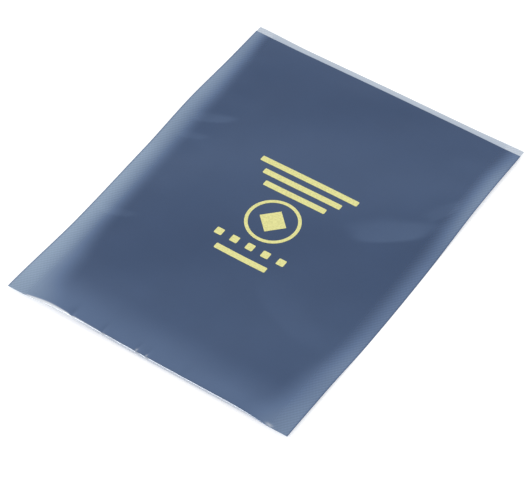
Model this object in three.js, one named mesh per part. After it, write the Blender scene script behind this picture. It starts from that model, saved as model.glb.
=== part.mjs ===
import * as THREE from 'three';
import { mergeVertices } from 'three/addons/utils/BufferGeometryUtils.js';

// Open-top pouch of metallised film, lying on its back panel.
// One sheet of film is folded in half across its length. Both sides are heat sealed,
// the end away from the fold stays open, and the back panel runs on there as a lip.
// Millimetres, +Z up. Along the pouch, +Y runs from the fold to the mouth.

// The film and its seals
const bagWidth = 152; // over both side seals
const bagLength = 203; // from the fold to the cut edge of the front panel
const lipLength = 3.6; // what the back panel runs on past that edge
const filmThickness = 0.08;
const sealWidth = 9.5;

// How far the two panels stand apart, in the middle of the pouch
const gapAtFold = 1.7;
const gapInside = 1.5;
const gapAtMouth = 0.7;
const pillowWidth = 26; // from a seal to where the panels have their full distance
const foldEndLength = 38; // from the fold to where the pouch lies level
const mouthEndLength = 44; // from where it stops lying level to the mouth

// How far the cut sides lift off the table. A station is a distance from the fold
// and the height there, and the edge eases from each station to the next.
const leftEdgeLift = [[0, 1.4], [52, 0.1], [105, 0.8], [148, 2.7], [178, 2.1], [203, 2.4]];
const rightEdgeLift = [[0, 1.9], [30, 1.5], [66, 0.1], [115, 0.1], [165, 2], [203, 1.9]];

// The same for the two ends, with stations across from the left side
const foldLift = [[28, 1.7], [74, 0.8], [110, 0.8], [136, 1.2]];
const mouthLift = [[28, 1.4], [76, 1.6], [124, 1.4]];
const edgeCurlWidth = 30; // how far in from a seal's outer edge the film is bent up

// How far the cut sides wander sideways, with stations as above, + is to the right
const leftEdgeBow = [[0, 0], [52, 0.6], [152, -0.4], [203, -0.2]];
const rightEdgeBow = [[0, 0], [85, 0.95], [180, -0.2], [203, 0]];

// The print: plain fields of one ink on the level middle of the front panel
const inkThickness = 0.05;
const printMargin = 13.5; // from the edge of the level part to the print, left and right
const printRight = 1.5; // how far the print sits right of the level part's middle
const printUp = 2.5; // and how far it sits above it
const barHeight = 3.2;
const barGap = 3.2;
const barInsets = [0, 5.5, 10]; // how much shorter each bar is than the print, at each end
const ringRadius = 13.5;
const ringStroke = 1.7;
const ringGap = 3.5; // to the bars above and the squares below
const lozengeInset = 4.4; // from the ring's inner side to the lozenge's tips
const squareSide = 4;
const squareCount = 5;
const squareInset = 7.8; // how much shorter their row is than the print, at each end
const footBarInset = 13;
const footBarGap = 4.4;

// Steps of the surface, and of the rounded fold
const columnSteps = { seal: 2, pillow: 8, level: 4 };
const rowSteps = { foldEnd: 9, level: 5, mouthEnd: 9, lip: 1 };
const foldArcSteps = 6;

// From either side to where the panels are level and at their full distance
const levelInset = Math.max(edgeCurlWidth, sealWidth + pillowWidth);

// Eases from 0 to 1 with no slope at either end.
const ease = (t) => {
  const s = Math.min(Math.max(t, 0), 1);
  return s * s * (3 - 2 * s);
};

// Height at a place along an edge, eased between its stations.
function alongStations(stations, along) {
  const last = stations.length - 1;
  if (along <= stations[0][0]) return stations[0][1];
  if (along >= stations[last][0]) return stations[last][1];
  const next = stations.findIndex(([at]) => at > along);
  const [fromPlace, fromValue] = stations[next - 1];
  const [toPlace, toValue] = stations[next];
  return fromValue + (toValue - fromValue) * ease((along - fromPlace) / (toPlace - fromPlace));
}

// Splits the spans between the breaks into equal steps.
function spread(breaks, steps) {
  const places = [breaks[0]];
  steps.forEach((count, span) => {
    for (let i = 1; i <= count; i += 1) {
      places.push(THREE.MathUtils.lerp(breaks[span], breaks[span + 1], i / count));
    }
  });
  return places;
}

// Height of the back panel's underside at u across from the left edge and v from the fold:
// nothing in the middle, and bent up towards the four edges.
function undersideHeight(u, v) {
  const nearLeft = 1 - ease(u / edgeCurlWidth);
  const nearRight = 1 - ease((bagWidth - u) / edgeCurlWidth);
  const inner = 1 - nearLeft - nearRight;
  const nearFold = 1 - ease(v / foldEndLength);
  const nearMouth = 1 - ease((bagLength - v) / mouthEndLength);
  return (
    nearLeft * alongStations(leftEdgeLift, v) +
    nearRight * alongStations(rightEdgeLift, v) +
    inner * (nearFold * alongStations(foldLift, u) + nearMouth * alongStations(mouthLift, u))
  );
}

// Space between the two panels: none in the seals, and rounding up to its full height
// over the width of the pillow.
function panelGap(u, v) {
  const fromSeal = Math.min(u, bagWidth - u) - sealWidth;
  const pillow = Math.sin((Math.PI / 2) * Math.min(Math.max(fromSeal / pillowWidth, 0), 1));
  const fullGap = alongStations(
    [
      [0, gapAtFold],
      [foldEndLength, gapInside],
      [bagLength - mouthEndLength, gapInside],
      [bagLength, gapAtMouth],
    ],
    v,
  );
  return pillow * fullGap;
}

// The fold is half a round tube, and the film that it takes draws it in: the panels start
// a quarter turn of its inner side, and the film's thickness, from where a flat fold lies.
const panelStart = (u) => (Math.PI / 2) * (panelGap(u, 0) / 2) + filmThickness;

// Distance from the fold for a row of the surface: the rows of the fold's end close up a
// little, to start where the round of the fold stops.
function rowPlace(u, row) {
  if (row >= foldEndLength) return row;
  return THREE.MathUtils.lerp(panelStart(u), foldEndLength, row / foldEndLength);
}

// A point in space, with the wander of the cut sides shared across the width.
function pointAt(u, v, z) {
  const left = alongStations(leftEdgeBow, v);
  const right = alongStations(rightEdgeBow, v);
  return [u + THREE.MathUtils.lerp(left, right, u / bagWidth), v, z];
}

// The four faces of the two panels, at column u and row
const backOuter = (u, row) => {
  const v = rowPlace(u, row);
  return pointAt(u, v, undersideHeight(u, v));
};
const backInner = (u, row) => {
  const v = rowPlace(u, row);
  return pointAt(u, v, undersideHeight(u, v) + filmThickness);
};
const frontInner = (u, row) => {
  const v = rowPlace(u, row);
  return pointAt(u, v, undersideHeight(u, v) + filmThickness + panelGap(u, v));
};
const frontOuter = (u, row) => {
  const v = rowPlace(u, row);
  return pointAt(u, v, undersideHeight(u, v) + 2 * filmThickness + panelGap(u, v));
};

// A point of the rounded fold, from the back panel at turn 0 to the front panel at 1.
// It lies beyond the fold's inner side by the offset.
function foldPoint(u, turn, offset) {
  const start = panelStart(u);
  const innerRadius = panelGap(u, start) / 2;
  const radius = innerRadius + offset;
  const angle = Math.PI * (turn - 0.5);
  const middle = undersideHeight(u, start) + filmThickness + innerRadius;
  return pointAt(u, start - radius * Math.cos(angle), middle + radius * Math.sin(angle));
}

// Collects triangles, and turns them into one closed geometry.
class Skin {
  constructor() {
    this.positions = [];
  }

  triangle(a, b, c) {
    this.positions.push(...a, ...b, ...c);
  }

  // A grid of points[i][j], seen from outside with i to the right and j up.
  grid(points) {
    for (let i = 0; i + 1 < points.length; i += 1) {
      for (let j = 0; j + 1 < points[i].length; j += 1) {
        this.triangle(points[i][j], points[i + 1][j], points[i + 1][j + 1]);
        this.triangle(points[i][j], points[i + 1][j + 1], points[i][j + 1]);
      }
    }
  }

  // A flat outline that runs anticlockwise seen from outside.
  fan(outline) {
    for (let k = 1; k + 1 < outline.length; k += 1) {
      this.triangle(outline[0], outline[k], outline[k + 1]);
    }
  }

  // Points closer than this are one, which closes the pocket along each seal.
  geometry(sameWithin = 1e-4) {
    const loose = new THREE.BufferGeometry();
    loose.setAttribute('position', new THREE.Float32BufferAttribute(this.positions, 3));
    const merged = mergeVertices(loose, sameWithin);
    const index = merged.getIndex();
    const kept = [];
    for (let t = 0; t < index.count; t += 3) {
      const corners = [index.getX(t), index.getX(t + 1), index.getX(t + 2)];
      if (new Set(corners).size === 3) kept.push(...corners);
    }
    merged.setIndex(kept);
    merged.computeVertexNormals();
    return merged;
  }
}

const reversed = (points) => points.slice().reverse();

function filmGeometry() {
  const { seal, pillow, level } = columnSteps;
  const columns = spread(
    [0, sealWidth, levelInset, bagWidth - levelInset, bagWidth - sealWidth, bagWidth],
    [seal, pillow, level, pillow, seal],
  );
  const pocketColumns = columns.filter((u) => u >= sealWidth && u <= bagWidth - sealWidth);
  const panelRows = spread(
    [0, foldEndLength, bagLength - mouthEndLength, bagLength],
    [rowSteps.foldEnd, rowSteps.level, rowSteps.mouthEnd],
  );
  const lipRows = spread([bagLength, bagLength + lipLength], [rowSteps.lip]);
  const backRows = [...panelRows, ...lipRows.slice(1)];
  const turns = spread([0, 1], [foldArcSteps]);
  const skin = new Skin();
  const over = (across, rows, face) => across.map((u) => rows.map((row) => face(u, row)));

  // Outside: back panel with its lip, the fold, the front panel
  skin.grid(reversed(over(columns, backRows, backOuter)));
  skin.grid(columns.map((u) => turns.map((turn) => foldPoint(u, turn, filmThickness))));
  skin.grid(over(columns, panelRows, frontOuter));

  // The front panel's cut edge, the lip's upper face and the lip's end
  const cutEdge = (u) => [frontOuter(u, bagLength), frontInner(u, bagLength)];
  skin.grid(columns.map(cutEdge));
  skin.grid(over(columns, lipRows, backInner));
  const lipEnd = bagLength + lipLength;
  skin.grid(columns.map((u) => [backInner(u, lipEnd), backOuter(u, lipEnd)]));

  // Inside the pocket: the two panels and the inner side of the fold
  skin.grid(over(pocketColumns, panelRows, backInner));
  skin.grid(reversed(over(pocketColumns, panelRows, frontInner)));
  skin.grid(reversed(pocketColumns.map((u) => turns.map((turn) => foldPoint(u, turn, 0)))));

  // The cut sides of the seals
  for (const [u, order] of [[0, (outline) => reversed(outline)], [bagWidth, (outline) => outline]]) {
    skin.fan(order(turns.map((turn) => foldPoint(u, 1 - turn, filmThickness))));
    for (let r = 0; r + 1 < panelRows.length; r += 1) {
      const [near, far] = [panelRows[r], panelRows[r + 1]];
      const outline = [backOuter(u, near), backOuter(u, far)];
      if (far === bagLength) outline.push(backInner(u, far));
      outline.push(frontOuter(u, far), frontOuter(u, near));
      skin.fan(order(outline));
    }
    for (let r = 0; r + 1 < lipRows.length; r += 1) {
      const [near, far] = [lipRows[r], lipRows[r + 1]];
      const outline = [backOuter(u, near), backOuter(u, far)];
      outline.push(backInner(u, far), backInner(u, near));
      skin.fan(order(outline));
    }
  }
  return skin.geometry();
}

const filmMaterial = new THREE.MeshStandardMaterial({
  name: 'metallised_film',
  color: 0x4a5a78,
  roughness: 0.28,
  metalness: 0.7,
});
const inkMaterial = new THREE.MeshStandardMaterial({
  name: 'print_ink',
  color: 0xdfe39a,
  roughness: 0.6,
  metalness: 0,
});

function named(name, geometry, material) {
  const mesh = new THREE.Mesh(geometry, material);
  mesh.name = name;
  return mesh;
}

const bag = new THREE.Group();
bag.add(named('bag_film', filmGeometry(), filmMaterial));

// The print's group stands on the front panel, at the middle of the ring.
const printGroup = new THREE.Group();
const levelMiddleUp = (foldEndLength + bagLength - mouthEndLength) / 2;
const printHeight = 2 * filmThickness + gapInside;
printGroup.position.set(bagWidth / 2 + printRight, levelMiddleUp + printUp, printHeight);
bag.add(printGroup);

function inked(name, shape, right, up) {
  const geometry = new THREE.ExtrudeGeometry(shape, {
    depth: inkThickness,
    bevelEnabled: false,
    curveSegments: 24,
  });
  const mesh = named(name, geometry, inkMaterial);
  mesh.position.set(right, up, 0);
  printGroup.add(mesh);
}

function boxShape(width, height) {
  const shape = new THREE.Shape();
  shape.moveTo(-width / 2, -height / 2);
  shape.lineTo(width / 2, -height / 2);
  shape.lineTo(width / 2, height / 2);
  shape.lineTo(-width / 2, height / 2);
  shape.closePath();
  return shape;
}

function ringShape(radius, stroke) {
  const shape = new THREE.Shape();
  shape.absarc(0, 0, radius, 0, 2 * Math.PI, false);
  const hole = new THREE.Path();
  hole.absarc(0, 0, radius - stroke, 0, 2 * Math.PI, true);
  shape.holes.push(hole);
  return shape;
}

function lozengeShape(radius) {
  const shape = new THREE.Shape();
  shape.moveTo(radius, 0);
  shape.lineTo(0, radius);
  shape.lineTo(-radius, 0);
  shape.lineTo(0, -radius);
  shape.closePath();
  return shape;
}

// Bars above the ring, the widest on top
const printWidth = bagWidth - 2 * (levelInset + printMargin);
const lowestBarUp = ringRadius + ringGap + barHeight / 2;
barInsets.forEach((inset, i) => {
  const up = lowestBarUp + (barInsets.length - 1 - i) * (barHeight + barGap);
  inked(`print_bar_${i + 1}`, boxShape(printWidth - 2 * inset, barHeight), 0, up);
});

// The ring with the lozenge in it
inked('print_ring', ringShape(ringRadius, ringStroke), 0, 0);
inked('print_lozenge', lozengeShape(ringRadius - ringStroke - lozengeInset), 0, 0);

// A row of squares below the ring, and a last bar under them
const squaresUp = -(ringRadius + ringGap + squareSide / 2);
const squaresWidth = printWidth - 2 * squareInset;
const squarePitch = (squaresWidth - squareSide) / (squareCount - 1);
for (let i = 0; i < squareCount; i += 1) {
  const right = (i - (squareCount - 1) / 2) * squarePitch;
  inked(`print_square_${i + 1}`, boxShape(squareSide, squareSide), right, squaresUp);
}
const footBarUp = squaresUp - squareSide / 2 - footBarGap - barHeight / 2;
inked('print_foot_bar', boxShape(printWidth - 2 * footBarInset, barHeight), 0, footBarUp);

// The origin is the middle of the pouch's footprint, on the table.
const box = new THREE.Box3().setFromObject(bag);
bag.position.set(-(box.min.x + box.max.x) / 2, -(box.min.y + box.max.y) / 2, -box.min.z);

export default bag;
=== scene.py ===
import math

import bmesh
import bpy
import numpy as np
from mathutils import Matrix, Vector


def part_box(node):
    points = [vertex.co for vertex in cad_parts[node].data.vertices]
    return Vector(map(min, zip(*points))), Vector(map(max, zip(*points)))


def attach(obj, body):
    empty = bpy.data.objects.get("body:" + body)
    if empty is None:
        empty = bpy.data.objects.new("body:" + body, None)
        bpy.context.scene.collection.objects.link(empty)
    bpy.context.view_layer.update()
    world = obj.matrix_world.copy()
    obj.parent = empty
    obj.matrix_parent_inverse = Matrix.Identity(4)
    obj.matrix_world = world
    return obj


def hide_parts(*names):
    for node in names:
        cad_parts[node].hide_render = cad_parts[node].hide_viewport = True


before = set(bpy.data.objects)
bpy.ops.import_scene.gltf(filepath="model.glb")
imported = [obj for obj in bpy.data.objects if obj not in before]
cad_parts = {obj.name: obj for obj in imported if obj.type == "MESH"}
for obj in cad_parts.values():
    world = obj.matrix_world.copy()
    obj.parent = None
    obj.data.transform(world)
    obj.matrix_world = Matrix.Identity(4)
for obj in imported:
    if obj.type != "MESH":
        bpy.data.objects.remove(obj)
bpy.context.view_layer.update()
print("frame loaded")

mm = 0.001  # the settings below are in millimetres, the meshes in metres

# The pouch lies as the solids do: u runs across from the left side, v from the fold to the mouth.
# A station is a distance along an edge and the value there.
pouch = {
    "width": 152.0,
    "length": 203.0,  # fold to the front panel's cut edge
    "lip": 3.6,  # the back panel runs on this far
    "film": 0.08,
    "seal": 9.5,
    "pillow": 26.0,  # from a seal to where the panels have their full distance
    "edgeCurl": 30.0,  # how far in from a side its lift is felt
    "foldEnd": 38.0,  # the same from the fold
    "mouthEnd": 44.0,  # and from the mouth
    "gapAtFold": 1.7,
    "gapInside": 1.5,
    "gapAtMouth": 0.7,
    # height over the table along each edge, and how far each cut side wanders
    "leftLift": ((0, 1.4), (52, 0.1), (105, 0.8), (148, 2.7), (178, 2.1), (203, 2.4)),
    "rightLift": ((0, 1.9), (30, 1.5), (66, 0.1), (115, 0.1), (165, 2.0), (203, 1.9)),
    "foldLift": ((28, 1.7), (74, 0.8), (110, 0.8), (136, 1.2)),
    "mouthLift": ((28, 1.4), (76, 1.6), (124, 1.4)),
    "leftBow": ((0, 0.0), (52, 0.6), (152, -0.4), (203, -0.2)),
    "rightBow": ((0, 0.0), (85, 0.95), (180, -0.2), (203, 0.0)),
}

# What the film does on top of that shape, at the size of a fingertip and below
softness = {
    # places where the fold is pinched: u, width, share of its depth
    "crimps": ((34.9, 1.1, 0.45), (51.7, 0.8, 0.35), (70.5, 0.5, 0.25), (76.0, 0.5, 0.2), (96.0, 1.5, 0.15)),
    "crimpFade": 4.0,
    # ripples where the film leaves a seal: wavelength, wander, run of the wander, phase
    "puckerDepth": 0.1,
    "leftPuckers": (17.0, 1.2, 23.0, 0.0),
    "rightPuckers": (20.06, 1.5, 31.0, 1.0),
    "puckerStart": 3.0,  # strongest this far inside a seal's line
    "puckerReach": 9.0,
    # slack waves over the front panel: direction in u and v, wavelength, phase, share
    "waveHeight": 0.15,
    "waves": ((0.92, 0.38, 61.0, 0.7, 1.0), (-0.45, 0.89, 83.0, 2.1, 0.9), (0.71, -0.70, 37.0, 4.0, 0.5)),
    "wavesFromFold": 12.0,
    "wavesToMouth": 14.0,
    "leastGap": 0.25,
    # the back panel's own small waves off the table: height, runs in u and v
    "layDown": 0.05,
    "layDownRuns": (17.0, 23.0),
}

# Painted light: where the film is made paler, share, then reach in millimetres, by v. It stands off the table
# there, and the light that gets in beneath it and its reflections are painted into the colour; the welds are a
# little paler of their own.
paintedEdgeLight = {
    "leftShare": ((0, 0.87), (20, 1.0), (60, 1.04), (120, 0.88), (150, 0.80), (203, 0.62)),
    "leftReach": ((0, 33.0), (20, 24.0), (60, 17.0), (120, 15.5), (150, 14.5), (180, 12.0), (203, 9.0)),
    "rightShare": ((0, 0.52), (40, 0.44), (75, 0.34), (120, 0.35), (160, 0.56), (180, 0.57), (203, 0.38)),
    "rightReach": ((0, 27.0), (20, 20.0), (60, 12.0), (120, 10.5), (180, 11.0), (203, 9.0)),
    "pastSeal": (0.82, 0.95),  # the share kept past the left and the right weld
    "sealBlend": 2.4,
    "foldShare": 0.21,
    "foldReach": 26.0,
    "foldLoses": 0.7,  # the fold's band gives way to the sides' by this share
    "rimDarker": 0.85,  # the cut side itself looks dark
    "rimReach": 0.45,
    "lipShare": 0.9,
}

# Painted reflections, soft light patches on the film: middle u and v, radii, turn in degrees, share
paintedReflections = (
    (124, 128, 24, 8, 36, 0.11),
    (16, 141, 13, 3.5, 28, 0.085),
    (14, 126, 9, 2.6, 20, 0.055),
    (12, 66, 11, 3, 15, 0.06),
    (139, 152, 12, 4, 62, 0.06),
    (112, 62, 30, 10, -28, 0.02),
)
# Broad soft bands that cross the front at a slant: turn in degrees, distance of a bright one, spacing, share
slantBands = {"turn": 25.0, "bright": 95.0, "spacing": 106.0, "share": 0.025}

# Painted highlight and light in a neutral white: the highlight along the fold's round, share by u on the fold, and
# the light through the lip's single film
paintedNeutralLight = {
    "crestShare": (
        ((0, 0.0), (8.5, 0.1), (12, 1.0), (33, 0.95), (46, 0.7), (62, 0.6), (132, 0.6), (142, 0.1), (152, 0))
    ),
    "crestReach": ((0, 1.0), (10, 1.6), (20, 1.9), (36, 0.85), (60, 0.72), (152, 0.6)),
    "crestBelow": 0.5,  # its reach downward, so that the outline keeps a thin dark line
    "crestMiddle": -1.0,  # v on the fold's round, where it tilts forward
    # small glints beside the crimps and at the right weld: u, v, radii, share
    "glints": ((70.5, 0.6, 0.4, 0.9, 0.5), (76.0, 0.4, 0.35, 0.8, 0.4), (142.0, 0.8, 1.6, 0.8, 0.5)),
    # painted light through the lip's single film: at the front's cut edge, at the lip's end, and at the welds
    "lipInner": 0.38,
    "lipOuter": 0.48,
    "lipEnds": 0.55,
}

# steps of the film's grid in each of its spans
filmGrid = {
    "rim": 2,
    "seal": 15,
    "pillow": 20,
    "level": 34,
    "crimp": (-1.6, -0.8, 0.0, 0.8, 1.6),  # extra columns at a crimp, in its widths
    "foldNear": 10,
    "foldEnd": 24,
    "middle": 88,
    "mouthEnd": 36,
    "lip": 4,
}
foldSteps = 12
uvSpan = 250.0  # millimetres to one unit of the film's UV map


def ease(t):
    # cubic ease: 3t^2 - 2t^3, held at 0 and 1 outside
    s = np.clip(t, 0.0, 1.0)
    return s * s * (3.0 - 2.0 * s)


def alongStations(stations, s):
    # each stretch between two stations is crossed by one cubic ease
    at = np.array([p[0] for p in stations], float)
    value = np.array([p[1] for p in stations], float)
    k = np.clip(np.searchsorted(at, s, side="right") - 1, 0, len(at) - 2)
    return value[k] + (value[k + 1] - value[k]) * ease((s - at[k]) / (at[k + 1] - at[k]))


def spread(breaks, counts):
    # equal steps inside each span between two breaks
    parts = [np.linspace(a, b, n + 1)[:-1] for a, b, n in zip(breaks[:-1], breaks[1:], counts)]
    return np.concatenate(parts + [np.array([breaks[-1]], float)])


def undersideHeight(u, v):
    # level in the middle; near each side and end an ease lifts it to that edge's stations
    p = pouch
    nearLeft = 1.0 - ease(u / p["edgeCurl"])
    nearRight = 1.0 - ease((p["width"] - u) / p["edgeCurl"])
    nearFold = 1.0 - ease(v / p["foldEnd"])
    nearMouth = 1.0 - ease((p["length"] - v) / p["mouthEnd"])
    ends = nearFold * alongStations(p["foldLift"], u) + nearMouth * alongStations(p["mouthLift"], u)
    sides = nearLeft * alongStations(p["leftLift"], v) + nearRight * alongStations(p["rightLift"], v)
    # two crossed sines keep the level part just off the table
    runU, runV = softness["layDownRuns"]
    ripple = 1.2 + np.sin(u / runU + 1.0) * np.sin(v / runV)
    return sides + (1.0 - nearLeft - nearRight) * ends + softness["layDown"] * ripple


def pillowShape(u):
    # quarter sine from 0 at a seal to 1 where the pillow ends
    fromSeal = np.minimum(u, pouch["width"] - u) - pouch["seal"]
    return np.sin(0.5 * math.pi * np.clip(fromSeal / pouch["pillow"], 0.0, 1.0))


def slackWaves(u, v):
    # sum of sines of the distance along each direction; they cross at odd angles, so no repeat shows
    total = np.zeros_like(u)
    for alongU, alongV, wavelength, phase, share in softness["waves"]:
        total = total + share * np.sin(2 * math.pi * (u * alongU + v * alongV) / wavelength + phase)
    return softness["waveHeight"] * total


def ripples(v, wavelength, wander, run, phase):
    # cosine of v over the wavelength, its phase swaying with a slow sine
    return np.cos(2 * math.pi * v / wavelength + wander * np.sin(v / run) + phase)


def sealPuckers(u, v):
    # ripples along a seal that die out as a bell curve on both sides of its inner line
    s = softness
    strongest = pouch["seal"] + s["puckerStart"]
    fromLeft = (u - strongest) / s["puckerReach"]
    fromRight = (pouch["width"] - u - strongest) / s["puckerReach"]
    left = ripples(v, *s["leftPuckers"]) * np.exp(-fromLeft**2)
    right = ripples(v, *s["rightPuckers"]) * np.exp(-fromRight**2)
    return s["puckerDepth"] * (left + right)


def panelGap(u, v):
    # pillow across, stations along; the waves and puckers only move the front panel
    p = pouch
    stations = (
        (0, p["gapAtFold"]),
        (p["foldEnd"], p["gapInside"]),
        (p["length"] - p["mouthEnd"], p["gapInside"]),
        (p["length"], p["gapAtMouth"]),
    )
    free = ease(v / softness["wavesFromFold"]) * ease((p["length"] + 2.0 - v) / softness["wavesToMouth"])
    extra = free * (slackWaves(u, v) + sealPuckers(u, v))
    return pillowShape(u) * np.maximum(alongStations(stations, v) + extra, softness["leastGap"])


def crimpShare(u):
    # the fold's round is pinched by a bell curve at each crimp
    pinch = sum(depth * np.exp(-(((u - at) / wide) ** 2)) for at, wide, depth in softness["crimps"])
    return 1.0 - pinch


def panelStart(u):
    # a quarter turn of the fold's inner side, and the film
    return 0.25 * math.pi * panelGap(u, np.zeros_like(u)) + pouch["film"]


def rowPlace(u, row):
    # rows of the fold's end close up to start at the fold's round
    start = panelStart(u)
    near = start + (pouch["foldEnd"] - start) * row / pouch["foldEnd"]
    return np.where(row < pouch["foldEnd"], near, row)


def nearGap(u, v):
    # the gap, less the crimps of the fold, which fade into the panel as a bell curve
    fade = np.exp(-((v - panelStart(u)) / softness["crimpFade"]) ** 2) * (v < pouch["foldEnd"])
    return panelGap(u, v) * (1.0 - fade * (1.0 - crimpShare(u)))


def pouchPoint(u, v, z):
    # the wander of the two cut sides is shared out linearly across the width
    left = alongStations(pouch["leftBow"], v)
    right = alongStations(pouch["rightBow"], v)
    x = u + left + (right - left) * u / pouch["width"]
    return np.stack([x, v, z], axis=-1)


def frontFace(u, v, above):
    # underside, the back film, the gap, the front film, and a height above them
    return pouchPoint(u, v, undersideHeight(u, v) + 2 * pouch["film"] + nearGap(u, v) + above)


def backOuter(u, row):
    # the underside itself
    v = rowPlace(u, row)
    return pouchPoint(u, v, undersideHeight(u, v))


def backInner(u, row):
    # underside and one film
    v = rowPlace(u, row)
    return pouchPoint(u, v, undersideHeight(u, v) + pouch["film"])


def frontInner(u, row):
    # underside, one film and the gap
    v = rowPlace(u, row)
    return pouchPoint(u, v, undersideHeight(u, v) + pouch["film"] + nearGap(u, v))


def frontOuter(u, row):
    # underside, one film, the gap and the other film
    return frontFace(u, rowPlace(u, row), 0.0)


def foldRound(u, turn, offset):
    # half a circle from the back panel (turn 0) to the front panel (turn 1), offset off the inner side
    start = panelStart(u)
    inner = 0.5 * nearGap(u, start)
    radius = inner + offset
    angle = math.pi * (turn - 0.5)
    middle = undersideHeight(u, start) + pouch["film"] + inner
    return pouchPoint(u, start - radius * np.cos(angle), middle + radius * np.sin(angle))


class Skin:
    # gathers grids of points, with their UVs, for one mesh
    def __init__(self):
        self.points, self.uvs, self.quads, self.count = [], [], [], 0

    def grid(self, points, uv, flip=False):
        # quads between neighbours; seen from outside the first index runs right, the second up
        across, up = points.shape[:2]
        index = self.count + np.arange(across * up).reshape(across, up)
        quad = np.stack([index[:-1, :-1], index[1:, :-1], index[1:, 1:], index[:-1, 1:]], -1)
        quad = quad.reshape(-1, 4)
        self.quads.append(quad[:, ::-1] if flip else quad)
        self.points.append(points.reshape(-1, 3))
        self.uvs.append(uv.reshape(-1, 2))
        self.count += across * up

    def mesh(self, name, sameWithin):
        # one mesh: shared points merged, collapsed quads dropped
        points, uvs = np.concatenate(self.points) * mm, np.concatenate(self.uvs) / uvSpan
        quads = np.concatenate(self.quads)
        mesh = bpy.data.meshes.new(name)
        mesh.from_pydata(points, [], quads.tolist())
        layer = mesh.uv_layers.new(name="filmMap")
        layer.data.foreach_set("uv", uvs[quads.reshape(-1)].reshape(-1).astype(np.float32))
        shape = bmesh.new()
        shape.from_mesh(mesh)
        bmesh.ops.remove_doubles(shape, verts=shape.verts, dist=sameWithin * mm)
        bmesh.ops.dissolve_degenerate(shape, edges=shape.edges, dist=0.2 * sameWithin * mm)
        shape.to_mesh(mesh)
        shape.free()
        return mesh


def finishPiece(name, mesh, material, sharpAbove=50.0):
    # smooth faces, with real corners kept sharp
    mesh.polygons.foreach_set("use_smooth", np.ones(len(mesh.polygons), bool))
    mesh.set_sharp_from_angle(angle=math.radians(sharpAbove))
    mesh.materials.append(material)
    piece = bpy.data.objects.new(name, mesh)
    bpy.context.scene.collection.objects.link(piece)
    return piece


def uvGrid(u, v):
    # u and v themselves, paired
    return np.stack(np.broadcast_arrays(u, v), axis=-1)


def addPanels(skin):
    # every side of the film as a grid over u and v, or over u and the turn of the fold
    p, g = pouch, filmGrid
    level = max(p["edgeCurl"], p["seal"] + p["pillow"])
    across = spread([0, 0.15, 0.8, p["seal"], level], [1, g["rim"], g["seal"], g["pillow"]])
    inner = spread([level, p["width"] - level], [g["level"]])
    across = np.concatenate([across, inner[1:-1], p["width"] - across[::-1]])
    # the columns close up at each crimp, and the rows beside the fold
    pinched = np.concatenate([at + wide * np.array(g["crimp"]) for at, wide, depth in softness["crimps"]])
    apart = np.abs(across[:, None] - pinched).min(axis=1) > 0.3
    across = np.sort(np.concatenate([across[apart], pinched]))
    rows = spread(
        [0, 4.0, p["foldEnd"], p["length"] - p["mouthEnd"], p["length"]],
        [g["foldNear"], g["foldEnd"], g["middle"], g["mouthEnd"]],
    )
    lipRows = spread([p["length"], p["length"] + p["lip"]], [g["lip"]])
    turns = np.linspace(0.0, 1.0, foldSteps + 1)
    pocket = across[(across >= p["seal"] - 1e-6) & (across <= p["width"] - p["seal"] + 1e-6)]
    backRows = np.concatenate([rows, lipRows[1:]])

    def lay(columns, places, face, flip=False, uvRow=lambda row: row):
        # one side: its face function over every pair of a column and a place
        u, row = np.meshgrid(columns, places, indexing="ij")
        skin.grid(face(u, row), uvGrid(u, uvRow(row)), flip)

    def roundRow(turn):
        # the UV runs on below the front panel's first row, by the length of the round
        return -0.5 * math.pi * p["gapAtFold"] * (1.0 - turn)

    # outside: back panel and lip, the fold, the front panel
    lay(across, backRows, backOuter, True)
    lay(across, turns, lambda u, t: foldRound(u, t, p["film"]), uvRow=roundRow)
    lay(across, rows, frontOuter)
    # the cut edge of the front panel, the lip's upper face and its end
    ones = np.ones_like(across)
    cut = [frontOuter(across, ones * p["length"]), frontInner(across, ones * p["length"])]
    skin.grid(np.stack(cut, 1), uvGrid(across[:, None], np.full((1, 2), p["length"])))
    lay(across, lipRows, backInner)
    lipEnd = p["length"] + p["lip"]
    end = [backInner(across, ones * lipEnd), backOuter(across, ones * lipEnd)]
    skin.grid(np.stack(end, 1), uvGrid(across[:, None], np.full((1, 2), lipEnd)))
    # inside of the pocket
    lay(pocket, rows, backInner)
    lay(pocket, rows, frontInner, True)
    lay(pocket, turns, lambda u, t: foldRound(u, t, 0.0), True, uvRow=roundRow)
    # the cut sides: a strip between the lower and the upper edge, with the mid line where the lip starts
    for u, flip in ((0.0, True), (p["width"], False)):
        side = np.full_like(rows, u)
        strip = np.stack([backOuter(side, rows), frontOuter(side, rows)], 1)
        skin.grid(strip, uvGrid(side[:, None], np.repeat(rows[:, None], 2, 1)), flip)
        lipSide = np.full_like(lipRows, u)
        strip = np.stack([backOuter(lipSide, lipRows), backInner(lipSide, lipRows)], 1)
        skin.grid(strip, uvGrid(lipSide[:, None], np.repeat(lipRows[:, None], 2, 1)), flip)
        half = np.linspace(0.0, 0.5, foldSteps // 2 + 1)
        ends = np.full_like(half, u)
        lower, upper = foldRound(ends, half, p["film"]), foldRound(ends, 1.0 - half, p["film"])
        skin.grid(np.stack([upper, lower], 1), uvGrid(ends[:, None], np.zeros((1, 2))), not flip)


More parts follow.
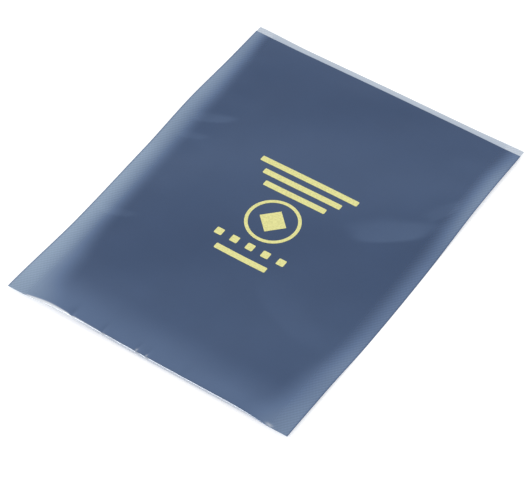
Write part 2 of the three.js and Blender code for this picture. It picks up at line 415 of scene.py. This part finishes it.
def paintedEdgeLightShare(u, v):
    # painted light: one minus an ease of distance over reach, from each side and from the fold, with the painted
    # reflections and the slant bands added
    b = paintedEdgeLight
    fromLeft = 1.0 - ease(u / alongStations(b["leftReach"], v))
    fromRight = 1.0 - ease((pouch["width"] - u) / alongStations(b["rightReach"], v))
    fromFold = 1.0 - ease(v / b["foldReach"])
    sides = alongStations(b["leftShare"], v) * fromLeft + alongStations(b["rightShare"], v) * fromRight
    fromSide = np.minimum(u, pouch["width"] - u)
    kept = np.where(u < 0.5 * pouch["width"], *b["pastSeal"])
    sides = sides * (1.0 - (1.0 - kept) * ease((fromSide - pouch["seal"]) / b["sealBlend"] + 0.5))
    sides = sides * (1.0 - b["rimDarker"] * np.exp(-((fromSide / b["rimReach"]) ** 2)))
    sides = sides + paintedReflectionShare(u, v) + slantShare(u, v)
    return sides + b["foldShare"] * fromFold * (1.0 - b["foldLoses"] * np.minimum(fromLeft + fromRight, 1.0))


def slantShare(u, v):
    # a cosine of the distance along a slanted direction
    b = slantBands
    turn = math.radians(b["turn"])
    along = v * math.cos(turn) - u * math.sin(turn)
    return b["share"] * (1.0 + np.cos(2 * math.pi * (along - b["bright"]) / b["spacing"]))


def paintedReflectionShare(u, v):
    # painted reflections: ellipses with a wavy rim; each fades out by an ease, quickly on the side of the fold
    total = np.zeros_like(u)
    for midU, midV, radiusU, radiusV, turn, share in paintedReflections:
        c, s = math.cos(math.radians(turn)), math.sin(math.radians(turn))
        a, b = (u - midU) * c + (v - midV) * s, (v - midV) * c - (u - midU) * s
        around = np.arctan2(b / radiusV, a / radiusU)
        wavy = 1.0 + 0.08 * np.sin(3 * around + 0.9) + 0.05 * np.sin(5 * around)
        soft = 0.55 + 0.3 * np.sin(around)
        inside = 1.0 - ease((np.hypot(a / radiusU, b / radiusV) / wavy - 1.1 + soft) / soft)
        total += share * inside * (0.8 + 0.3 * a / radiusU - 0.25 * b / radiusV)
    return total


def paintedNeutralLightShare(u, v, lip):
    # painted highlight on the fold, a flat-topped bell in v, with painted glints; painted light on the lip, an ease
    # from the front's cut edge to its end
    c = paintedNeutralLight
    off = v - c["crestMiddle"]
    off = off / np.where(off > 0, alongStations(c["crestReach"], u), c["crestBelow"])
    crest = alongStations(c["crestShare"], u) * np.exp(-(off**8))
    for midU, midV, radiusU, radiusV, share in c["glints"]:
        crest += share * np.exp(-(((u - midU) / radiusU) ** 2) - ((v - midV) / radiusV) ** 2)
    outward = ease((v - pouch["length"]) / pouch["lip"])
    inSeal = 1.0 - ease((np.minimum(u, pouch["width"] - u) - pouch["seal"] + 1.0) / 2.0)
    across = c["lipInner"] + (c["lipOuter"] - c["lipInner"]) * outward
    return np.where(lip, np.maximum(across, c["lipEnds"] * inSeal), crest)


def addPaleness(mesh):
    # two values for each face corner, the shares of the painted light in the film's colour; faces past the front's
    # cut edge are lip
    count = len(mesh.loops)
    uv = np.empty(2 * count, np.float32)
    mesh.uv_layers["filmMap"].data.foreach_get("uv", uv)
    u, v = uv.reshape(-1, 2).T * uvSpan
    first, total = np.empty(len(mesh.polygons), np.int32), np.empty(len(mesh.polygons), np.int32)
    mesh.polygons.foreach_get("loop_start", first)
    mesh.polygons.foreach_get("loop_total", total)
    faceV = np.repeat(np.add.reduceat(v, first) / total, total)
    lip = faceV > pouch["length"] + 0.01
    pale = np.where(lip, paintedEdgeLight["lipShare"], paintedEdgeLightShare(u, v))
    for name, value in (("paleness", pale), ("crease", paintedNeutralLightShare(u, v, lip))):
        attribute = mesh.attributes.new(name, "FLOAT", "CORNER")
        attribute.data.foreach_set("value", value.astype(np.float32))


def settle(mesh):
    # slides the pouch so that its footprint has the middle of the CAD solid's
    low, high = (Vector(corner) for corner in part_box("bag_film"))
    count = len(mesh.vertices)
    points = np.empty(count * 3, np.float32)
    mesh.vertices.foreach_get("co", points)
    points = points.reshape(-1, 3)
    middle = 0.5 * (points.min(0) + points.max(0))
    shift = np.array([0.5 * (low.x + high.x) - middle[0], 0.5 * (low.y + high.y) - middle[1], 0.0])
    mesh.vertices.foreach_set("co", (points + shift).reshape(-1).astype(np.float32))
    return shift


# Materials


def linear(hexColour):
    # sRGB hex to linear light
    srgb = [int(hexColour[i : i + 2], 16) / 255.0 for i in (0, 2, 4)]
    light = [c / 12.92 if c <= 0.04045 else ((c + 0.055) / 1.055) ** 2.4 for c in srgb]
    return (*light, 1.0)


def node(tree, kind, links=(), **settings):
    # adds a node; links give an input its socket or value, settings are attributes or input names
    made = tree.nodes.new(kind)
    for key, value in settings.items():
        if hasattr(made, key):
            setattr(made, key, value)
        else:
            made.inputs[key.replace("_", " ")].default_value = value
    for target, source in links:
        if isinstance(source, bpy.types.NodeSocket):
            tree.links.new(source, made.inputs[target])
        else:
            made.inputs[target].default_value = source
    return made


def newMaterial(name):
    # a material with an empty node tree
    material = bpy.data.materials.new(name)
    material.use_nodes = True
    material.node_tree.nodes.clear()
    return material, material.node_tree


filmLook = {
    "body": "384F73",
    "between": "5E7599",
    "betweenAt": 0.3,
    # the colours that paint light: pale for the light under raised edges and the reflections, and a neutral white
    # for the fold's highlight and the lip
    "pale": "98ADC6",
    "crease": "EBF0F7",
    "cloudSize": 0.045,  # noise cells to a millimetre: a cloud is about 22 mm
    "cloudLight": 0.03,
    "grainSize": 0.3,  # grain of about 3 mm, as coarse as the picture can show
    "grainDepth": 0.006,
    "knurlPitch": 1.4,  # read off the photo
    "knurlDepth": 0.04,
    "knurlLight": 0.085,
    "knurlSets": ((-38.0, 1.0), (34.0, 0.3)),  # angle and share of each set of ribs
    "knurlMean": 0.65,  # taken off, so that a weld keeps the film's own level
    "roughness": 0.2,
    "weldRoughness": 0.36,
    "metal": 0.85,
    "creaseMetal": 0.25,
    "coat": 0.6,
    "coatRoughness": 0.08,
}


def shieldingFilm():
    # Metallised shielding film: aluminium vapour between clear polyester and polyethylene. To the eye it is a smoky
    # blue-grey mirror, paler where light gets in beneath a raised edge; that paler look and the fold's highlight
    # are painted into its colour.
    look = filmLook
    material, tree = newMaterial("metallisedShieldingFilm")
    place = node(tree, "ShaderNodeUVMap", uv_map="filmMap")
    onFilm = node(tree, "ShaderNodeVectorMath", [(0, place.outputs[0])], operation="SCALE", Scale=uvSpan)
    split = node(tree, "ShaderNodeSeparateXYZ", [(0, onFilm.outputs[0])])
    # one in the welds, by the distance from the pouch's middle line
    half = pouch["width"] / 2
    centred = node(tree, "ShaderNodeMath", [(0, split.outputs["X"]), (1, half)], operation="SUBTRACT")
    offMiddle = node(tree, "ShaderNodeMath", [(0, centred.outputs[0])], operation="ABSOLUTE")
    inSeal = node(
        tree,
        "ShaderNodeMapRange",
        [("Value", offMiddle.outputs[0])],
        interpolation_type="SMOOTHSTEP",
        From_Min=half - pouch["seal"] - 0.8,
        From_Max=half - pouch["seal"] + 0.6,
    )
    # knurl of the sealing jaws: two sets of fine ribs that cross
    ribs = []
    for angle, share in look["knurlSets"]:
        turned = node(
            tree, "ShaderNodeMapping", [("Vector", onFilm.outputs[0])], Rotation=(0, 0, math.radians(-angle))
        )
        wave = node(
            tree, "ShaderNodeTexWave", [("Vector", turned.outputs[0])], Scale=2 * math.pi / 20 / look["knurlPitch"]
        )
        ribs.append(node(tree, "ShaderNodeMath", [(0, wave.outputs["Fac"]), (1, share)], operation="MULTIPLY"))
    crossed = node(tree, "ShaderNodeMath", [(0, ribs[0].outputs[0]), (1, ribs[1].outputs[0])])
    knurl = node(tree, "ShaderNodeMath", [(0, crossed.outputs[0]), (1, look["knurlMean"])], operation="SUBTRACT")
    masked = node(tree, "ShaderNodeMath", [(0, knurl.outputs[0]), (1, inSeal.outputs[0])], operation="MULTIPLY")
    grain = node(
        tree, "ShaderNodeTexNoise", [("Vector", onFilm.outputs[0])], Scale=look["grainSize"], Detail=2.0
    )
    clouds = node(
        tree, "ShaderNodeTexNoise", [("Vector", onFilm.outputs[0])], Scale=look["cloudSize"], Detail=3.0
    )
    knurlBump = node(
        tree, "ShaderNodeBump", [("Height", masked.outputs[0])], Strength=1.0, Distance=look["knurlDepth"] * mm
    )
    grainBump = node(
        tree,
        "ShaderNodeBump",
        [("Height", grain.outputs["Fac"]), ("Normal", knurlBump.outputs[0])],
        Strength=1.0,
        Distance=look["grainDepth"] * mm,
    )
    # colour: the body, made paler by one attribute, the painted light of raised edges, reflections and the lip, and
    # neutral white by the other, the painted highlight of the fold and the light through the lip
    pale = node(tree, "ShaderNodeAttribute", attribute_name="paleness")
    colour = node(tree, "ShaderNodeValToRGB", [("Fac", pale.outputs["Fac"])])
    ramp = colour.color_ramp.elements
    ramp[0].color, ramp[1].color = linear(look["body"]), linear(look["pale"])
    ramp.new(look["betweenAt"]).color = linear(look["between"])
    crease = node(tree, "ShaderNodeAttribute", attribute_name="crease")
    neutralLightMixed = node(
        tree,
        "ShaderNodeMix",
        [(0, crease.outputs["Fac"]), (6, colour.outputs[0]), (7, linear(look["crease"]))],
        data_type="RGBA",
    )
    # light and dark of the ribs and of the clouds
    ribLight = node(
        tree,
        "ShaderNodeMapRange",
        [("Value", masked.outputs[0])],
        From_Min=-look["knurlMean"],
        From_Max=look["knurlMean"],
        To_Min=1.0 - look["knurlLight"],
        To_Max=1.0 + look["knurlLight"],
    )
    cloud = node(
        tree,
        "ShaderNodeMapRange",
        [("Value", clouds.outputs["Fac"])],
        From_Min=0.3,
        From_Max=0.7,
        To_Min=1.0 - look["cloudLight"],
        To_Max=1.0 + look["cloudLight"],
    )
    shade = node(tree, "ShaderNodeMath", [(0, cloud.outputs[0]), (1, ribLight.outputs[0])], operation="MULTIPLY")
    tinted = node(
        tree, "ShaderNodeVectorMath", [(0, neutralLightMixed.outputs[2]), ("Scale", shade.outputs[0])], operation="SCALE"
    )
    rough = node(
        tree,
        "ShaderNodeMapRange",
        [("Value", inSeal.outputs[0])],
        To_Min=look["roughness"],
        To_Max=look["weldRoughness"],
    )
    # less metal where the neutral white is painted, so that the painted highlight reads as a matt white
    metal = node(
        tree,
        "ShaderNodeMapRange",
        [("Value", crease.outputs["Fac"])],
        To_Min=look["metal"],
        To_Max=look["creaseMetal"],
    )
    shader = node(
        tree,
        "ShaderNodeBsdfPrincipled",
        [
            ("Base Color", tinted.outputs[0]),
            ("Metallic", metal.outputs[0]),
            ("Roughness", rough.outputs[0]),
            ("Normal", grainBump.outputs[0]),
        ],
        Coat_Weight=look["coat"],
        Coat_Roughness=look["coatRoughness"],
    )
    node(tree, "ShaderNodeOutputMaterial", [("Surface", shader.outputs[0])])
    return material


inkLook = {"thin": "DEDC90", "full": "F1EEA0", "speck": 1400.0, "speckDepth": 0.01, "roughness": 0.55}


def printInk():
    # Screen-printed solvent ink: a thin matt layer, pale yellow, a little uneven in cover.
    # The real specks are finer than a pixel: these are 0.7 mm, so that they show.
    look = inkLook
    material, tree = newMaterial("screenPrintedInk")
    place = node(tree, "ShaderNodeTexCoord")
    speck = node(tree, "ShaderNodeTexNoise", [("Vector", place.outputs["Object"])], Scale=look["speck"], Detail=2.0)
    cover = node(tree, "ShaderNodeMapRange", [("Value", speck.outputs["Fac"])], From_Min=0.35, From_Max=0.6)
    colour = node(
        tree,
        "ShaderNodeMix",
        [(0, cover.outputs[0]), (6, linear(look["thin"])), (7, linear(look["full"]))],
        data_type="RGBA",
    )
    bump = node(
        tree, "ShaderNodeBump", [("Height", speck.outputs["Fac"])], Strength=0.6, Distance=look["speckDepth"] * mm
    )
    shader = node(
        tree,
        "ShaderNodeBsdfPrincipled",
        [("Base Color", colour.outputs[2]), ("Normal", bump.outputs[0])],
        Roughness=look["roughness"],
    )
    node(tree, "ShaderNodeOutputMaterial", [("Surface", shader.outputs[0])])
    return material


filmMaterial = shieldingFilm()
inkMaterial = printInk()
print("materials made")

filmSkin = Skin()
addPanels(filmSkin)
filmMesh = filmSkin.mesh("pouchFilm", 0.002)
addPaleness(filmMesh)
filmShift = settle(filmMesh)
pouchFilm = finishPiece("pouchFilm", filmMesh, filmMaterial)
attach(pouchFilm, "root")
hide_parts("bag_film")
print("film laid,", len(filmMesh.polygons), "faces")

# The print: plain fields that follow the front panel
ink = {
    "thickness": 0.05,
    "standOff": 0.015,
    "corner": 0.5,
    "ringStroke": 1.7,
}


def inkField(name, u, v, solid, closed=False):
    # a slab over a grid of places on the front panel: lower face, upper face and the rim between
    low = frontFace(u, v, ink["standOff"])
    high = frontFace(u, v, ink["standOff"] + ink["thickness"])
    uv = uvGrid(u, v)
    skin = Skin()
    skin.grid(high, uv)
    skin.grid(low, uv, True)
    rims = [(slice(None), 0, False), (slice(None), -1, True)]
    if not closed:
        rims += [(0, slice(None), True), (-1, slice(None), False)]
    for i, j, flip in rims:
        skin.grid(np.stack([low[i, j], high[i, j]], 1), np.stack([uv[i, j], uv[i, j]], 1), flip)
    mesh = skin.mesh(name, 0.002)
    points = np.empty(len(mesh.vertices) * 3, np.float32)
    mesh.vertices.foreach_get("co", points)
    mesh.vertices.foreach_set("co", (points.reshape(-1, 3) + filmShift).reshape(-1).astype(np.float32))
    piece = finishPiece(name, mesh, inkMaterial)
    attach(piece, "root")
    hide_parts(solid)
    return piece


def fieldSpot(solid):
    # middle of a print solid's box less the wander of the sides there, then its width and height
    low, high = (np.array(corner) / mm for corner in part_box(solid))
    midU, midV = 0.5 * (low[:2] + high[:2]) - filmShift[:2] / mm
    wander = pouchPoint(midU, midV, 0.0)[0] - midU
    return midU - wander, midV, high[0] - low[0], high[1] - low[1]


def barField(name, solid):
    # a grid on the solid's box; near the corners each row is shortened by a quarter circle
    midU, midV, wide, tall = fieldSpot(solid)
    steps = np.linspace(-1, 1, max(3, int(wide / 1.1)))
    s, t = np.meshgrid(steps, np.sin(np.linspace(-0.5, 0.5, 11) * math.pi), indexing="ij")
    up = 0.5 * tall * t
    inCorner = np.maximum(np.abs(up) - (0.5 * tall - ink["corner"]), 0.0)
    half = 0.5 * wide - ink["corner"] + np.sqrt(np.maximum(ink["corner"] ** 2 - inCorner**2, 0.0))
    return inkField(name, midU + s * half, midV + up, solid)


def ringField(name, solid):
    # circles between the outer and the inner radius
    midU, midV, wide = fieldSpot(solid)[:3]
    radii = np.linspace(0.5 * wide, 0.5 * wide - ink["ringStroke"], 4)
    turn, radius = np.meshgrid(np.linspace(0, 2 * math.pi, 97), radii, indexing="ij")
    return inkField(name, midU + radius * np.cos(turn), midV + radius * np.sin(turn), solid, True)


def lozengeField(name, solid):
    # a square grid turned by an eighth: half (s - t) across and half (s + t) up
    midU, midV, wide = fieldSpot(solid)[:3]
    steps = np.linspace(-1, 1, 13)
    s, t = np.meshgrid(steps, steps, indexing="ij")
    half = 0.25 * wide
    return inkField(name, midU + half * (s - t), midV + half * (s + t), solid)


for solid in sorted(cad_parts):
    words = solid.split("_")
    pieceName = words[0] + "".join(word.capitalize() for word in words[1:])
    if "bar" in words or "square" in words:
        barField(pieceName, solid)
    elif "ring" in words:
        ringField(pieceName, solid)
    elif "lozenge" in words:
        lozengeField(pieceName, solid)
print("print laid")

# Floor, lamps, world and camera
studio = {
    "floor": "F4F4F4",
    "floorRadius": 4.0,
    "floorGlow": 0.4,  # brings the pale floor to white
    "zenith": 0.6,
    "horizon": 0.88,
    "backward": 0.3,  # how much more light comes from behind the pouch than from before it
    "keyRadiance": 4.2,
    "keySize": (2.3, 0.6),
    "keyFrom": (-0.05, -0.67, 0.71),
    "keyDistance": 2.2,
}


def plainFloor():
    # painted board: matt, near white
    material, tree = newMaterial("matPaintedBoard")
    matt = node(tree, "ShaderNodeBsdfDiffuse", Color=linear(studio["floor"]))
    # the glow is there for the camera and for mirrors and glass, and lights nothing
    path = node(tree, "ShaderNodeLightPath").outputs
    mirrored = node(
        tree, "ShaderNodeMath", [(0, path["Is Camera Ray"]), (1, path["Is Glossy Ray"])], operation="MAXIMUM"
    )
    seen = node(
        tree, "ShaderNodeMath", [(0, mirrored.outputs[0]), (1, path["Is Transmission Ray"])], operation="MAXIMUM"
    )
    amount = node(tree, "ShaderNodeMath", [(0, seen.outputs[0]), (1, studio["floorGlow"])], operation="MULTIPLY")
    glow = node(tree, "ShaderNodeEmission", [("Strength", amount.outputs[0])])
    both = node(tree, "ShaderNodeAddShader", [(0, matt.outputs[0]), (1, glow.outputs[0])])
    node(tree, "ShaderNodeOutputMaterial", [("Surface", both.outputs[0])])
    shape = bmesh.new()
    bmesh.ops.create_circle(shape, cap_ends=True, radius=studio["floorRadius"], segments=96)
    mesh = bpy.data.meshes.new("studioFloor")
    shape.to_mesh(mesh)
    shape.free()
    mesh.materials.append(material)
    floor = bpy.data.objects.new("studioFloor", mesh)
    bpy.context.scene.collection.objects.link(floor)


def lightStudio():
    # a sky that is white at the horizon and dimmer overhead, and one large softbox
    world = bpy.data.worlds.new("softSky")
    world.use_nodes = True
    tree = world.node_tree
    tree.nodes.clear()
    heading = node(tree, "ShaderNodeTexCoord")
    split = node(tree, "ShaderNodeSeparateXYZ", [(0, heading.outputs["Generated"])])
    height = node(
        tree,
        "ShaderNodeMapRange",
        [("Value", split.outputs["Z"])],
        To_Min=studio["horizon"],
        To_Max=studio["zenith"],
    )
    behind = node(
        tree,
        "ShaderNodeMath",
        [(0, split.outputs["Y"]), (1, studio["backward"]), (2, height.outputs[0])],
        operation="MULTIPLY_ADD",
    )
    sky = node(tree, "ShaderNodeBackground", [("Strength", behind.outputs[0])], Color=(1, 1, 1, 1))
    node(tree, "ShaderNodeOutputWorld", [("Surface", sky.outputs[0])])
    bpy.context.scene.world = world
    wide, tall = studio["keySize"]
    lamp = bpy.data.lights.new("keySoftbox", "AREA")
    lamp.shape, lamp.size, lamp.size_y = "RECTANGLE", wide, tall
    lamp.energy = studio["keyRadiance"] * math.pi * wide * tall
    key = bpy.data.objects.new("keySoftbox", lamp)
    toKey = Vector(studio["keyFrom"]).normalized()
    key.location = toKey * studio["keyDistance"]
    key.rotation_euler = toKey.to_track_quat("Z", "Y").to_euler()
    bpy.context.scene.collection.objects.link(key)


shot = {
    "azimuth": 32.66,
    "elevation": 48.53,
    "roll": 1.443,
    "distance": 1.1096,
    "target": (0.006664, -0.017454, 0.0),
    "lens": 163.33,  # long, on a 36 mm wide frame
}


def placeCamera():
    # back, right and up of the view from its two angles, then a small roll
    turn, tilt, roll = (math.radians(shot[key]) for key in ("azimuth", "elevation", "roll"))
    back = Vector((math.sin(turn) * math.cos(tilt), -math.cos(turn) * math.cos(tilt), math.sin(tilt)))
    right = Vector((math.cos(turn), math.sin(turn), 0.0))
    up = back.cross(right)
    rolledRight = right * math.cos(roll) + up * math.sin(roll)
    rolledUp = up * math.cos(roll) - right * math.sin(roll)
    lensData = bpy.data.cameras.new("photoCamera")
    lensData.lens, lensData.sensor_width, lensData.sensor_fit = shot["lens"], 36.0, "HORIZONTAL"
    lensData.clip_start, lensData.clip_end = 0.05, 20.0
    camera = bpy.data.objects.new("photoCamera", lensData)
    spot = Vector(shot["target"]) + back * shot["distance"]
    axes = Matrix((rolledRight, rolledUp, back)).transposed().to_4x4()
    camera.matrix_world = Matrix.Translation(spot) @ axes
    bpy.context.scene.collection.objects.link(camera)
    bpy.context.scene.camera = camera


plainFloor()
lightStudio()
placeCamera()
bpy.context.scene.view_settings.view_transform = "Standard"
print("studio ready")
